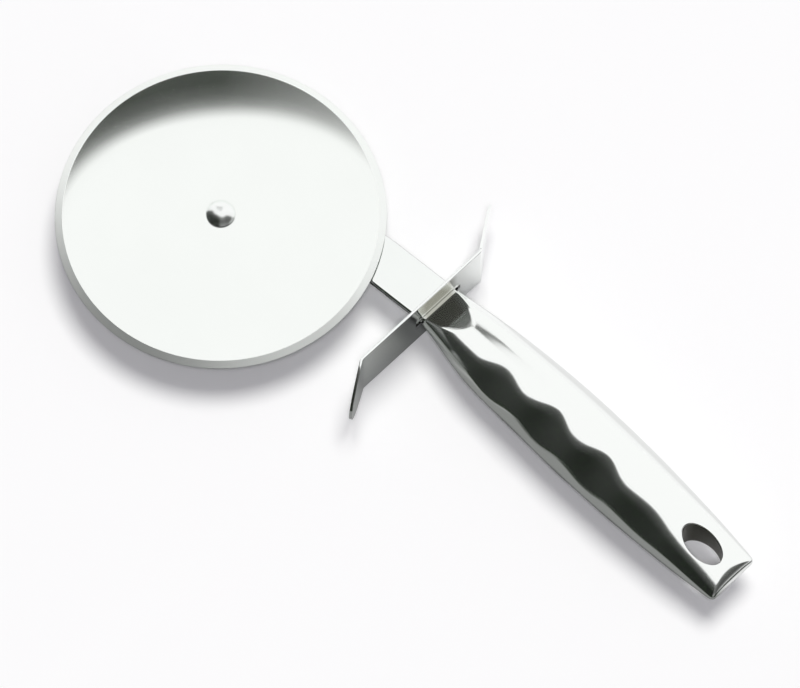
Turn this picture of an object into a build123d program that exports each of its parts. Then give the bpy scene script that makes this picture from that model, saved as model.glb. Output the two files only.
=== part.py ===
from build123d import *
import math
import os

# Pizza cutter: a round blade riveted to a flat arm, with a bent finger guard and a hollow scooped handle.
# It lies flat, as on a table. +X runs from the blade to the butt of the handle, +Y to the thumb's side of the
# grip and +Z up. The origin is on the table, under the middle of the bounding box. Lengths are millimetres.

# Blade
wheel_diameter = 100.0
wheel_thickness = 1.0
bevel_width = 2.2
cutting_edge = 0.1

# Rivet that carries the wheel
journal_diameter = 5.0
spigot_diameter = 4.0
rivet_head_diameter = 8.8
rivet_head_height = 2.2
rivet_tail_diameter = 6.4
rivet_tail_height = 1.0
running_clearance = 0.05
end_float = 0.1

# Washers on the rivet
head_washer_diameter = 8.0
head_washer_thickness = 0.3
spacer_diameter = 12.0
spacer_thickness = 1.0
backing_washer_diameter = 9.0
backing_washer_thickness = 0.8

# Arm, from the wheel's axle through the guard to the end of its tang
arm_width = 15.0
arm_thickness = 2.0
arm_straight = 30.0
arm_lead_angle = 5.2
arm_bend_radius = 30.0
wheel_reach = 66.0
wheel_drop = 26.4
tang_width = 9.0
tang_length = 48.0
tang_hole_diameter = 4.0
tang_hole_pitch = 16.0

# Finger guard: a flat across the arm, and a leg bent from each end of it
guard_height = 22.4
guard_thickness = 0.9
guard_bend_radius = 1.5
guard_end_flat = 0.4
guard_end_slope = 16.0
guard_end_reach = 0.45
finger_flat = 31.6
finger_leg = 14.7
finger_bend = 32.0
thumb_flat = 18.2
thumb_leg = 20.0
thumb_bend = 36.0
slot_finger_room = 1.8
slot_thumb_room = 0.9
slot_clearance = 0.1

# Handle
handle_length = 123.8
handle_width = 25.2
handle_thickness = 21.8
belly_distance = 62.0
nose_width = 14.8
nose_thickness = 8.4
nose_facet_angle = 20.0
nose_solid = 6.0
butt_width = 17.8
butt_thickness = 6.0
butt_roll = 4.0
shell_wall = 0.9

# Shoulders: the fullness is how far a shoulder's curve leans out, and a quarter ellipse's is 0.55
nose_shoulder = 0.66
belly_shoulder = 0.55
butt_shoulder = 0.72
nose_shoulder_end = 10.0
belly_shoulder_start = 70.0
belly_shoulder_end = 95.0
butt_shoulder_start = 110.0
seam_fullness = 0.47

# Finger side: a swell behind the nose, and scoops that are hollows in the shoulder
finger_swell = 0.9
finger_swell_place = 24.0
finger_swell_reach = 22.0
scoop_shoulder = 0.2
first_scoop = 32.1
first_scoop_share = 0.85
scoop_pitch = 20.4
last_scoop_share = 0.3
sections_per_scoop = 6

# Hanging hole
hang_hole_length = 14.4
hang_hole_width = 8.6
hang_hole_from_butt = 13.2
sleeve_wall = 0.9

# The frame: the guard's plane, the handle's axis and the height of the arm's mid-plane
wheel_radius = wheel_diameter / 2
thumb_reach = (
    thumb_flat
    + thumb_leg * math.cos(math.radians(thumb_bend))
    + guard_thickness / 2 * math.sin(math.radians(thumb_bend))
)
guard_x = (wheel_reach + wheel_radius - handle_length - guard_thickness / 2) / 2
handle_y = (wheel_drop + wheel_radius - thumb_reach) / 2
mid_height = max(guard_height, handle_thickness) / 2
tool = Plane((guard_x, handle_y, mid_height))
guard_section = Plane(tool.origin, x_dir=(0, 1, 0), z_dir=(1, 0, 0))
nose_face = guard_thickness / 2
nose_side = Plane((guard_x + nose_face, handle_y, mid_height), x_dir=(1, 0, 0), z_dir=(0, -1, 0))

# Levels on the rivet, above the arm's mid-plane
arm_top = arm_thickness / 2
tail_seat = -arm_top - backing_washer_thickness
wheel_bottom = arm_top + spacer_thickness + end_float
wheel_top = wheel_bottom + wheel_thickness
head_washer_bottom = wheel_top + end_float
head_seat = head_washer_bottom + head_washer_thickness
wheel_centre = (guard_x - wheel_reach, handle_y - wheel_drop)
axle = Axis((*wheel_centre, 0), (0, 0, 1))
axle_section = Plane((*wheel_centre, mid_height), x_dir=(1, 0, 0), z_dir=(0, -1, 0))

# Places along the handle, from its nose
hang_hole_centre = handle_length - hang_hole_from_butt
hang_hole_plane = Plane((guard_x + nose_face + hang_hole_centre, handle_y, mid_height))
scoop_room = hang_hole_centre - hang_hole_length / 2 - first_scoop
scoop_count = math.floor(scoop_room / scoop_pitch + 0.6)
scoops_start = first_scoop - scoop_pitch / 2
scoops_end = scoops_start + scoop_count * scoop_pitch
butt_start = handle_length - butt_roll
nose_seat = arm_top + shell_wall

os.makedirs("parts", exist_ok=True)


def bulge(distance, nose, belly, butt):
    """A size along the handle: a parabola from the belly to the nose, and another to the butt."""
    if distance < belly_distance:
        share = (belly_distance - distance) / belly_distance
        return belly - (belly - nose) * share**2
    share = (distance - belly_distance) / (handle_length - belly_distance)
    return belly - (belly - butt) * share**2


def plain_shoulder(distance):
    """A shoulder's fullness without scoops: even at nose, belly and butt, and straight between them."""
    if distance < belly_shoulder_start:
        share = min((belly_shoulder_start - distance) / (belly_shoulder_start - nose_shoulder_end), 1)
        return belly_shoulder + (nose_shoulder - belly_shoulder) * share
    share = min(max((distance - belly_shoulder_end) / (butt_shoulder_start - belly_shoulder_end), 0), 1)
    return belly_shoulder + (butt_shoulder - belly_shoulder) * share


def finger_shoulder(distance):
    """The finger side's fullness: the plain one, less a cosine wave that is deepest amid each scoop."""
    plain = plain_shoulder(distance)
    if not scoops_start < distance < scoops_end:
        return plain
    phase = (distance - first_scoop) / scoop_pitch
    depth = (1 + math.cos(2 * math.pi * phase)) / 2
    if phase < 0.5:
        depth *= first_scoop_share
    if phase > scoop_count - 1.5:
        depth *= last_scoop_share
    return plain - (plain - scoop_shoulder) * depth


def swell(distance):
    """How far the finger side swells out behind the nose: a cosine wave squared."""
    past = min(max((distance - finger_swell_place) / finger_swell_reach, -1), 1)
    return finger_swell * math.cos(math.pi / 2 * past) ** 2


def stations(start, end):
    """Section distances from start to end, in even steps that fit the scoops."""
    count = math.ceil((end - start) * sections_per_scoop / scoop_pitch)
    return [start + (end - start) * i / count for i in range(count + 1)]


def half_section(distance, inset):
    """The upper half of the handle's section, drawn in by inset: a flat base and a curve on each side."""
    thumb = bulge(distance, nose_width, handle_width, butt_width) / 2 - inset
    finger = thumb + swell(distance)
    height = bulge(distance, nose_thickness, handle_thickness, butt_thickness) / 2 - inset
    upright = seam_fullness * height
    thumb_crown = thumb * plain_shoulder(distance)
    finger_crown = finger * finger_shoulder(distance)
    base = Line((-finger, 0), (thumb, 0))
    thumb_side = Bezier((thumb, 0), (thumb, upright), (thumb_crown, height), (0, height))
    finger_side = Bezier((0, height), (-finger_crown, height), (-finger, upright), (-finger, 0))
    return guard_section.offset(nose_face + distance) * Face(Wire([base, thumb_side, finger_side]))


def half_sections(distances, inset):
    """The sections to loft through, one at each distance."""
    return [half_section(distance, inset) for distance in distances]


def nose_wedge(seat):
    """What the facet cuts from the top of the nose, seen from the side: all above a slope from the seat."""
    run = handle_thickness / math.tan(math.radians(nose_facet_angle))
    with BuildSketch(nose_side) as wedge:
        with BuildLine():
            Polyline((0, seat), (run, seat + handle_thickness), (0, seat + handle_thickness), close=True)
        make_face()
    return wedge.sketch


def butt_scrap():
    """What the roll cuts from the top of the butt, seen from the side: all outside a quarter ellipse."""
    crown = bulge(butt_start, nose_thickness, handle_thickness, butt_thickness) / 2
    clear = handle_length + butt_roll
    with BuildSketch(nose_side) as scrap:
        with BuildLine():
            EllipticalCenterArc((butt_start, 0), butt_roll, crown, start_angle=0, arc_size=90)
            Polyline((butt_start, crown), (butt_start, handle_thickness), (clear, handle_thickness))
            Polyline((clear, handle_thickness), (clear, 0), (handle_length, 0))
        make_face()
    return scrap.sketch


def guard_scrap(corner, lean, leg):
    """What is cut from one end of the guard to point it: all outside two mirrored curves.

    The leg is measured from the corner of its bend, and leans from the flat by an angle."""
    half = guard_height / 2
    tip = guard_end_flat / 2
    start = guard_bend_radius * math.tan(abs(lean) / 2)
    reach = guard_end_reach * (leg - start)
    heading = math.copysign(1, corner)
    along = (-math.sin(lean), heading * math.cos(lean), 0)
    side = Plane((guard_x, handle_y + corner, mid_height), x_dir=along, z_dir=(along[1], -along[0], 0))
    with BuildSketch(side) as scrap:
        with BuildLine():
            Bezier(
                (start, half),
                (start + reach, half - reach * math.tan(math.radians(guard_end_slope))),
                (leg, half / 2),
                (leg, tip),
            )
            Polyline((leg, tip), (leg + half, tip), (leg + half, guard_height))
            Polyline((leg + half, guard_height), (start, guard_height), (start, half))
        make_face()
        mirror(about=Plane.XZ)
    return scrap.sketch


def hang_hole_oval(growth):
    """The oval of the hanging hole, larger by growth all round."""
    with BuildSketch(hang_hole_plane) as oval:
        Ellipse(hang_hole_length / 2 + growth, hang_hole_width / 2 + growth)
    return oval.sketch


def make_washer(bottom, outer_diameter, bore_diameter, thickness):
    """A flat ring about the axle, with its lower face at a level above the arm's mid-plane."""
    with BuildPart() as washer:
        with BuildSketch(Plane((*wheel_centre, mid_height + bottom))):
            Circle(outer_diameter / 2)
            Circle(bore_diameter / 2, mode=Mode.SUBTRACT)
        extrude(amount=thickness)
    return washer


# Cutting wheel: a disc whose upper face is ground down to the edge
with BuildPart() as cutting_wheel:
    bore_radius = journal_diameter / 2 + running_clearance
    bevel_start = wheel_radius - bevel_width
    with BuildSketch(axle_section):
        with BuildLine():
            Polyline(
                (bore_radius, wheel_bottom),
                (wheel_radius, wheel_bottom),
                (wheel_radius, wheel_bottom + cutting_edge),
                (bevel_start, wheel_top),
                (bore_radius, wheel_top),
                close=True,
            )
        make_face()
    revolve(axis=axle)
cutting_wheel.part.label = "cutting_wheel"
export_step(cutting_wheel.part, "parts/cutting_wheel.step")

# Axle rivet: a domed head, a journal for the wheel, and a spigot closed over behind the arm
with BuildPart() as axle_rivet:
    head_radius = rivet_head_diameter / 2
    journal_radius = journal_diameter / 2
    spigot_radius = spigot_diameter / 2
    tail_radius = rivet_tail_diameter / 2
    head_top = head_seat + rivet_head_height
    tail_bottom = tail_seat - rivet_tail_height
    with BuildSketch(axle_section):
        with BuildLine():
            TangentArc((0, head_top), (head_radius, head_seat), tangent=(1, 0))
            Polyline(
                (head_radius, head_seat),
                (journal_radius, head_seat),
                (journal_radius, arm_top),
                (spigot_radius, arm_top),
                (spigot_radius, tail_seat),
                (tail_radius, tail_seat),
            )
            TangentArc((0, tail_bottom), (tail_radius, tail_seat), tangent=(1, 0))
            Line((0, tail_bottom), (0, head_top))
        make_face()
    revolve(axis=axle)
axle_rivet.part.label = "axle_rivet"
export_step(axle_rivet.part, "parts/axle_rivet.step")

# Washers: one under the rivet's head, one between the wheel and the arm, one behind the arm
washer_bore = journal_diameter + 2 * running_clearance
head_washer = make_washer(head_washer_bottom, head_washer_diameter, washer_bore, head_washer_thickness)
head_washer.part.label = "head_washer"
export_step(head_washer.part, "parts/head_washer.step")

spacer_washer = make_washer(arm_top, spacer_diameter, washer_bore, spacer_thickness)
spacer_washer.part.label = "spacer_washer"
export_step(spacer_washer.part, "parts/spacer_washer.step")

backing_washer = make_washer(tail_seat, backing_washer_diameter, spigot_diameter, backing_washer_thickness)
backing_washer.part.label = "backing_washer"
export_step(backing_washer.part, "parts/backing_washer.step")

# Arm: a cranked flat bar with a round end at the wheel, and a narrow tang behind the guard
with BuildPart() as arm:
    lead_slope = math.tan(math.radians(arm_lead_angle))
    with BuildSketch(tool.offset(-arm_top)):
        with BuildLine():
            FilletPolyline(
                (-wheel_reach, -wheel_drop),
                (-arm_straight, -arm_straight * lead_slope),
                (arm_width, arm_width * lead_slope),
                radius=arm_bend_radius,
            )
            offset(amount=arm_width / 2, side=Side.BOTH)
        make_face()
        with Locations((nose_face, 0)):
            Rectangle(2 * arm_width, 2 * arm_width, align=(Align.MIN, Align.CENTER), mode=Mode.SUBTRACT)
            Rectangle(tang_length, tang_width, align=(Align.MIN, Align.CENTER))
        with Locations((-wheel_reach, -wheel_drop)):
            Circle(spigot_diameter / 2, mode=Mode.SUBTRACT)
        with Locations((nose_face + tang_length - tang_hole_pitch, 0)):
            with GridLocations(tang_hole_pitch, 0, 2, 1):
                Circle(tang_hole_diameter / 2, mode=Mode.SUBTRACT)
    extrude(amount=arm_thickness)
arm.part.label = "arm"
export_step(arm.part, "parts/arm.step")

# Finger guard: a bent strip with pointed round ends, and a slot for the arm
with BuildPart() as finger_guard:
    finger_lean = math.radians(finger_bend)
    thumb_lean = math.radians(thumb_bend)
    with BuildSketch(tool):
        with BuildLine():
            FilletPolyline(
                (finger_leg * math.sin(finger_lean), -finger_flat - finger_leg * math.cos(finger_lean)),
                (0, -finger_flat),
                (0, thumb_flat),
                (-thumb_leg * math.sin(thumb_lean), thumb_flat + thumb_leg * math.cos(thumb_lean)),
                radius=guard_bend_radius,
            )
        trace(line_width=guard_thickness)
    extrude(amount=guard_height / 2, both=True)
    finger_scrap = guard_scrap(-finger_flat, -finger_lean, finger_leg)
    thumb_scrap = guard_scrap(thumb_flat, thumb_lean, thumb_leg)
    extrude(finger_scrap, amount=guard_thickness, both=True, mode=Mode.SUBTRACT)
    extrude(thumb_scrap, amount=guard_thickness, both=True, mode=Mode.SUBTRACT)
    with BuildSketch(guard_section):
        with Locations((arm_width / 2 + slot_thumb_room, 0)):
            Rectangle(
                arm_width + slot_thumb_room + slot_finger_room,
                arm_thickness + 2 * slot_clearance,
                align=(Align.MAX, Align.CENTER),
            )
    extrude(amount=guard_thickness, both=True, mode=Mode.SUBTRACT)
finger_guard.part.label = "finger_guard"
export_step(finger_guard.part, "parts/finger_guard.step")

# Sections of the handle's upper half, and of the hollow inside it
hollow_stations = stations(nose_solid, butt_start)
body_profiles = half_sections(stations(0, handle_length), 0)
hollow_profiles = half_sections(hollow_stations, shell_wall)
hollow_outside_profiles = half_sections(hollow_stations, 0)

# The hollow in the upper half, a wall's thickness inside the handle and its nose facet
with BuildPart() as hollow:
    loft(hollow_profiles)
    facet_seat = nose_seat - shell_wall / math.cos(math.radians(nose_facet_angle))
    extrude(nose_wedge(facet_seat), amount=handle_width, both=True, mode=Mode.SUBTRACT)

# Handle shells: two pressed halves that close on the tang at the nose
with BuildPart() as handle_upper_shell:
    loft(body_profiles)
    extrude(butt_scrap(), amount=handle_width, both=True, mode=Mode.SUBTRACT)
    extrude(nose_wedge(nose_seat), amount=handle_width, both=True, mode=Mode.SUBTRACT)
    add(hollow.part, mode=Mode.SUBTRACT)
    with BuildSketch(guard_section.offset(nose_face)):
        Rectangle(tang_width, arm_thickness)
    extrude(amount=tang_length, mode=Mode.SUBTRACT)
    extrude(hang_hole_oval(sleeve_wall), amount=handle_thickness, both=True, mode=Mode.SUBTRACT)
handle_upper_shell.part.label = "handle_upper_shell"
export_step(handle_upper_shell.part, "parts/handle_upper_shell.step")

with BuildPart() as handle_lower_shell:
    mirror(handle_upper_shell.part, about=tool)
handle_lower_shell.part.label = "handle_lower_shell"
export_step(handle_lower_shell.part, "parts/handle_lower_shell.step")

# Sleeve of the hanging hole, trimmed flush with the shells
with BuildPart() as hang_hole_sleeve:
    loft(hollow_outside_profiles)
    mirror(about=tool)
    extrude(hang_hole_oval(sleeve_wall), amount=handle_thickness, both=True, mode=Mode.INTERSECT)
    extrude(hang_hole_oval(0), amount=handle_thickness, both=True, mode=Mode.SUBTRACT)
hang_hole_sleeve.part.label = "hang_hole_sleeve"
export_step(hang_hole_sleeve.part, "parts/hang_hole_sleeve.step")

# Filler that holds the tang and fills the rest of the hollow
with BuildPart() as handle_filler:
    add(hollow.part)
    mirror(about=tool)
    add(arm.part, mode=Mode.SUBTRACT)
    extrude(hang_hole_oval(sleeve_wall), amount=handle_thickness, both=True, mode=Mode.SUBTRACT)
handle_filler.part.label = "handle_filler"
export_step(handle_filler.part, "parts/handle_filler.step")
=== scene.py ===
import math

import bpy
import numpy as np
from bpy.props import FloatProperty, FloatVectorProperty, PointerProperty
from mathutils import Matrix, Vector


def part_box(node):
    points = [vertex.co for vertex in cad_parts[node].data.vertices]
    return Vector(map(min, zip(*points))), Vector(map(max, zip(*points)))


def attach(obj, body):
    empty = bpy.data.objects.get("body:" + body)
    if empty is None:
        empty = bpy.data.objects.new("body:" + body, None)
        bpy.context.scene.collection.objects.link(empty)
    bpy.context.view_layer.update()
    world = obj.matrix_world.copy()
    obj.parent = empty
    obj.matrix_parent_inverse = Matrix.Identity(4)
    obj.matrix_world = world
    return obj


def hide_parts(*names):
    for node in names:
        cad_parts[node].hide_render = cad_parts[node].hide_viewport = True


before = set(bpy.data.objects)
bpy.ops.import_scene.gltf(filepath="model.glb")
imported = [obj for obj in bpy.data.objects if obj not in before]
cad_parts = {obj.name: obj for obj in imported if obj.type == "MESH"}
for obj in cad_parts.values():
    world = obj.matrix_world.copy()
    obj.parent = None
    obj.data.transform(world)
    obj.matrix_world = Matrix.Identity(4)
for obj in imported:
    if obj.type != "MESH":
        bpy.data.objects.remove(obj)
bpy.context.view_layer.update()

bl_info = {
    "name": "Pizza cutter",
    "version": (1, 0, 0),
    "blender": (4, 5, 0),
    "location": "3D View > Sidebar > Pizza cutter",
    "description": "Builds the bright steel skins of a pizza cutter over its solid model, and a small studio round it",
    "category": "Add Mesh",
}

FRAME_BODY = "cutter_frame"
WHEEL_BODY = "wheel"

# Places that come from the solid model
ARM_LOW, ARM_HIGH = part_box("arm")
SHELL_LOW, SHELL_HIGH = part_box("handle_upper_shell")
SLEEVE_LOW, SLEEVE_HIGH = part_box("hang_hole_sleeve")
WHEEL_LOW, WHEEL_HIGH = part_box("cutting_wheel")
GUARD_LOW, GUARD_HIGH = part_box("finger_guard")
MID_HEIGHT = (ARM_LOW.z + ARM_HIGH.z) / 2
HANDLE_Y = (SLEEVE_LOW.y + SLEEVE_HIGH.y) / 2
NOSE_X = SHELL_LOW.x
AXLE = ((WHEEL_LOW.x + WHEEL_HIGH.x) / 2, (WHEEL_LOW.y + WHEEL_HIGH.y) / 2)

# How finely paths are summed and turns are searched for, and the least sizes that keep points apart
PATH_STEPS = 20000
HALVINGS = 45
LEAST_REACH = 0.00002
LEAST_SOFTENING = 1e-9


def length_property(name, description, default):
    """A length in metres, shown to a hundredth of a millimetre."""
    return FloatProperty(name=name, description=description, default=default, unit="LENGTH", precision=5)


def angle_property(name, description, degrees):
    """An angle, given in degrees."""
    return FloatProperty(name=name, description=description, default=math.radians(degrees), subtype="ANGLE")


def share_property(name, description, default):
    """A plain number between nought and one."""
    return FloatProperty(name=name, description=description, default=default, min=0.0, max=1.0, subtype="FACTOR")


def colour_property(name, description, default):
    """A linear colour."""
    return FloatVectorProperty(
        name=name, description=description, default=default, size=3, min=0.0, max=1.0, subtype="COLOR"
    )


class BladeSizes(bpy.types.PropertyGroup):
    """Sizes of the cutting wheel."""

    bevel_width: length_property("Bevel width", "How far the ground bevel reaches in from the edge", 0.0022)
    cutting_edge: length_property("Cutting edge", "Thickness left at the edge", 0.0001)
    bore_radius: length_property("Bore radius", "Radius of the hole for the rivet", 0.00255)


class RivetSizes(bpy.types.PropertyGroup):
    """Sizes of the axle rivet, with levels above the middle of the arm."""

    head_radius: length_property("Head radius", "Radius of the domed head", 0.0044)
    head_height: length_property("Head height", "Height of the dome", 0.0022)
    head_seat: length_property("Head seat", "Level of the underside of the head", 0.0035)
    journal_radius: length_property("Journal radius", "Radius that the wheel turns on", 0.0025)
    spigot_radius: length_property("Spigot radius", "Radius of the part that goes through the arm", 0.002)
    tail_radius: length_property("Tail radius", "Radius of the closed tail", 0.0032)
    tail_height: length_property("Tail height", "Height of the closed tail", 0.001)
    tail_seat: length_property("Tail seat", "Level of the face that the tail is closed on", -0.0018)


class ArmSizes(bpy.types.PropertyGroup):
    """Sizes of the flat arm."""

    width: length_property("Width", "Width of the bar", 0.015)
    thickness: length_property("Thickness", "Thickness of the bar", 0.002)
    edge_round: length_property("Edge round", "Radius on the bar's long edges", 0.0009)
    lead_length: length_property("Lead length", "From the guard's plane to the corner of the crank", 0.030)
    lead_angle: angle_property("Lead angle", "Angle between the lead and the handle", 5.2)
    bend_radius: length_property("Bend radius", "Radius of the crank, at the middle of the bar", 0.030)
    tang_width: length_property("Tang width", "Width of the tang inside the handle", 0.009)
    tang_length: length_property("Tang length", "Length of the tang inside the handle", 0.048)


class GuardSizes(bpy.types.PropertyGroup):
    """Sizes of the finger guard."""

    thickness: length_property("Thickness", "Thickness of the sheet", 0.0009)
    edge_round: length_property("Edge round", "Radius on the sheet's edges", 0.00018)
    bend_radius: length_property("Bend radius", "Radius of the two bends, at the middle of the sheet", 0.0015)
    end_flat: length_property("End flat", "Length of the straight bit at the tip of each end", 0.0004)
    end_slope: angle_property("End slope", "How fast each end narrows where its bend stops", 16.0)
    end_reach: share_property("End reach", "Share of a leg along which it keeps that slope", 0.45)
    finger_flat: length_property("Finger flat", "From the arm to the bend on the finger side", 0.0316)
    finger_leg: length_property("Finger leg", "Length of the leg on the finger side", 0.0147)
    finger_bend: angle_property("Finger bend", "How far the finger leg is bent back", 32.0)
    thumb_flat: length_property("Thumb flat", "From the arm to the bend on the thumb side", 0.0182)
    thumb_leg: length_property("Thumb leg", "Length of the leg on the thumb side", 0.020)
    thumb_bend: angle_property("Thumb bend", "How far the thumb leg is bent forward", 36.0)
    slot_finger_end: length_property("Slot finger end", "End of the arm's slot on the finger side", -0.0093)
    slot_thumb_end: length_property("Slot thumb end", "End of the arm's slot on the thumb side", 0.0084)
    slot_half_height: length_property("Slot half height", "Half the height of the arm's slot", 0.0011)


class HandleSizes(bpy.types.PropertyGroup):
    """Sizes of the handle, whose distances run from the nose."""

    length: length_property("Length", "From the guard to the butt", SHELL_HIGH.x - SHELL_LOW.x)
    belly_distance: length_property("Belly distance", "Where the handle is widest", 0.062)
    nose_width: length_property("Nose width", "Width at the guard", 0.0148)
    belly_width: length_property("Belly width", "Greatest width", 0.0252)
    butt_width: length_property("Butt width", "Width at the butt", 0.0178)
    nose_thickness: length_property("Nose thickness", "Thickness at the guard, before the facet", 0.0084)
    belly_thickness: length_property("Belly thickness", "Greatest thickness", 0.0218)
    butt_thickness: length_property("Butt thickness", "Thickness at the butt, before its roll", 0.0060)
    butt_roll: length_property("Butt roll", "Length of the round that ends the butt", 0.0040)
    roll_soften: length_property("Roll soften", "How softly the roll meets the crown and the sides", 0.0024)
    butt_corner: length_property("Butt corner", "Radius of the butt's corners, seen from above", 0.0014)
    nose_round: length_property("Nose round", "Radius round the end of the nose", 0.0003)
    facet_angle: angle_property("Facet angle", "Slope of the flat on top of the nose", 20.0)
    facet_seat: length_property("Facet seat", "Height of the facet over the seam at the guard", 0.0019)
    facet_soften: length_property("Facet soften", "How softly the facet runs into the crown", 0.0003)
    nose_shoulder: share_property("Nose shoulder", "Fullness of the shoulders at the nose", 0.66)
    belly_shoulder: share_property("Belly shoulder", "Fullness of the shoulders at the belly", 0.55)
    butt_shoulder: share_property("Butt shoulder", "Fullness of the shoulders at the butt", 0.72)
    nose_shoulder_end: length_property("Nose shoulder end", "Where the nose's fullness ends", 0.010)
    belly_shoulder_start: length_property("Belly shoulder start", "Where the belly's fullness starts", 0.070)
    belly_shoulder_end: length_property("Belly shoulder end", "Where the belly's fullness ends", 0.095)
    butt_shoulder_start: length_property("Butt shoulder start", "Where the butt's fullness starts", 0.110)
    seam_fullness: share_property("Seam fullness", "How upright the sides stand on the seam", 0.47)
    finger_swell: length_property("Finger swell", "How far the finger side swells out behind the nose", 0.0009)
    swell_place: length_property("Swell place", "Middle of the swell", 0.024)
    swell_reach: length_property("Swell reach", "From the middle of the swell to its end", 0.022)
    scoop_shoulder: share_property("Scoop shoulder", "Fullness of the finger shoulder in a scoop", 0.2)
    first_scoop: length_property("First scoop", "Middle of the first finger scoop", 0.0321)
    scoop_pitch: length_property("Scoop pitch", "From one finger scoop to the next", 0.0204)
    first_scoop_share: share_property("First scoop share", "Depth of the first scoop against the middle ones", 0.85)
    last_scoop_share: share_property("Last scoop share", "Depth of the last scoop against the middle ones", 0.3)
    seam_round: length_property("Seam round", "Radius that rolls each half into the seam", 0.0002)
    wall: length_property("Wall", "Thickness of the pressed skin", 0.00035)
    hole_distance: length_property("Hole distance", "Middle of the hanging hole", 0.1106)
    hole_length: length_property("Hole length", "Length of the hanging hole", 0.0144)
    hole_width: length_property("Hole width", "Width of the hanging hole", 0.0086)
    sleeve_wall: length_property("Sleeve wall", "Wall of the hole's sleeve", 0.0009)
    lip_round: length_property("Lip round", "Radius that rolls the skin into the hanging hole", 0.0004)


class FinishColours(bpy.types.PropertyGroup):
    """Colours of the finishes."""

    mirror_steel: colour_property("Mirror steel", "Hand-polished handle, guard and rivet", (0.95, 0.97, 0.955))
    blade_steel: colour_property("Blade steel", "Buffed face of the blade", (0.925, 0.95, 0.925))
    bar_steel: colour_property("Bar steel", "Polished flat bar and washers", (0.915, 0.94, 0.92))
    # Painted shade: a dark colour on the hanging hole's wall, standing in for the shade and dark reflections inside
    # the hole
    shaded_hole_steel: colour_property("Hole steel", "Unpolished wall of the hanging hole", (0.20, 0.195, 0.165))
    cement: colour_property("Cement", "Grey cement in the handle", (0.34, 0.33, 0.31))
    floor: colour_property("Floor", "Pale table top", (0.94, 0.94, 0.945))
    dark_screen: colour_property("Dark screen", "Dark cloth that the polish mirrors", (0.003, 0.011, 0.001))
    tent: colour_property("Tent", "Light of the tent on matt surfaces", (0.96, 0.945, 1.0))
    sun: colour_property("Sun", "Light of the large lamp", (1.0, 1.0, 0.97))
    fill: colour_property("Fill", "Light of the lamp beside the camera", (0.97, 0.955, 1.0))


class StudioSizes(bpy.types.PropertyGroup):
    """The camera, the lamps and how far off the dark cloths and cards are."""

    camera_azimuth: angle_property("Camera azimuth", "Where the camera stands round the cutter", 45.38)
    camera_elevation: angle_property("Camera elevation", "How high the camera stands", 67.4)
    camera_distance: length_property("Camera distance", "From the camera to the middle of the picture", 2.0)
    look_at: FloatVectorProperty(
        name="Look at", description="Middle of the picture", default=(-0.0062, 0.0073, 0.0), unit="LENGTH"
    )
    focal_length: FloatProperty(
        name="Focal length", description="Focal length on a 36 mm sensor", default=298.8, unit="CAMERA"
    )
    tent: FloatProperty(name="Tent", description="Light that the white tent gives to matt surfaces", default=0.20)
    sun: FloatProperty(name="Sun", description="Strength of the large lamp over the tent", default=2.02)
    sun_azimuth: angle_property("Sun azimuth", "Where the lamp stands, from the far side to the right", 20.0)
    sun_elevation: angle_property("Sun elevation", "How high the lamp stands", 70.0)
    sun_spread: angle_property("Sun spread", "How large the lamp looks from the table", 31.0)
    fill: FloatProperty(name="Fill", description="Strength of the lamp beside the camera", default=0.88)
    fill_spread: angle_property("Fill spread", "How large the fill lamp looks from the table", 10.0)
    screen_distance: length_property("Screen distance", "From the cutter to the dark cloths", 6.0)
    blade_card_distance: length_property("Blade card distance", "From the blade to the dark card over it", 0.15)
    facet_card_distance: length_property("Facet card distance", "From the nose to the small card that it mirrors", 1.0)


class CutterSettings(bpy.types.PropertyGroup):
    """All the settings of the pizza cutter."""

    blade: PointerProperty(type=BladeSizes)
    rivet: PointerProperty(type=RivetSizes)
    arm: PointerProperty(type=ArmSizes)
    guard: PointerProperty(type=GuardSizes)
    handle: PointerProperty(type=HandleSizes)
    colours: PointerProperty(type=FinishColours)
    studio: PointerProperty(type=StudioSizes)


# Meshes

def grid_quads(index):
    """Quads between the neighbours of a grid of vertex numbers."""
    return np.stack([index[:-1, :-1], index[1:, :-1], index[1:, 1:], index[:-1, 1:]], axis=-1).reshape(-1, 4)


def closed(index, axis):
    """The grid with its first row or column again at the end, so that it closes on itself."""
    return np.concatenate([index, np.take(index, [0], axis=axis)], axis=axis)


def enclosed_volume(points, faces):
    """Signed volume inside closed faces: a sixth of the sum of the triple products of their triangles."""
    total = 0.0
    for block in faces:
        first, second, third = points[block[:, 0]], points[block[:, 1]], points[block[:, 2]]
        total += np.einsum("ij,ij->", first, np.cross(second, third))
        if block.shape[1] == 4:
            total += np.einsum("ij,ij->", first, np.cross(third, points[block[:, 3]]))
    return total / 6


def make_mesh(name, points, faces):
    """A smooth-shaded object from an array of points and a list of arrays of triangles or quads."""
    used, corners = np.unique(np.concatenate([block.ravel() for block in faces]), return_inverse=True)
    sides = np.concatenate([np.full(len(block), block.shape[1]) for block in faces])
    mesh = bpy.data.meshes.new(name)
    mesh.vertices.add(len(used))
    mesh.vertices.foreach_set("co", points[used].astype(np.float32).ravel())
    mesh.loops.add(len(corners))
    mesh.loops.foreach_set("vertex_index", corners.astype(np.int32).ravel())
    mesh.polygons.add(len(sides))
    mesh.polygons.foreach_set("loop_start", (np.cumsum(sides) - sides).astype(np.int32))
    mesh.polygons.foreach_set("use_smooth", np.ones(len(sides), dtype=bool))
    mesh.update(calc_edges=True)
    if mesh.validate():
        raise RuntimeError(f"the mesh of {name} had faces that are not valid")
    piece = bpy.data.objects.new(name, mesh)
    bpy.context.scene.collection.objects.link(piece)
    return piece


def make_closed_piece(name, points, faces):
    """A closed object whose faces point outwards: they are turned round if they enclose a negative volume."""
    if enclosed_volume(points, faces) < 0:
        faces = [block[:, ::-1] for block in faces]
    return make_mesh(name, points, faces)


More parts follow.
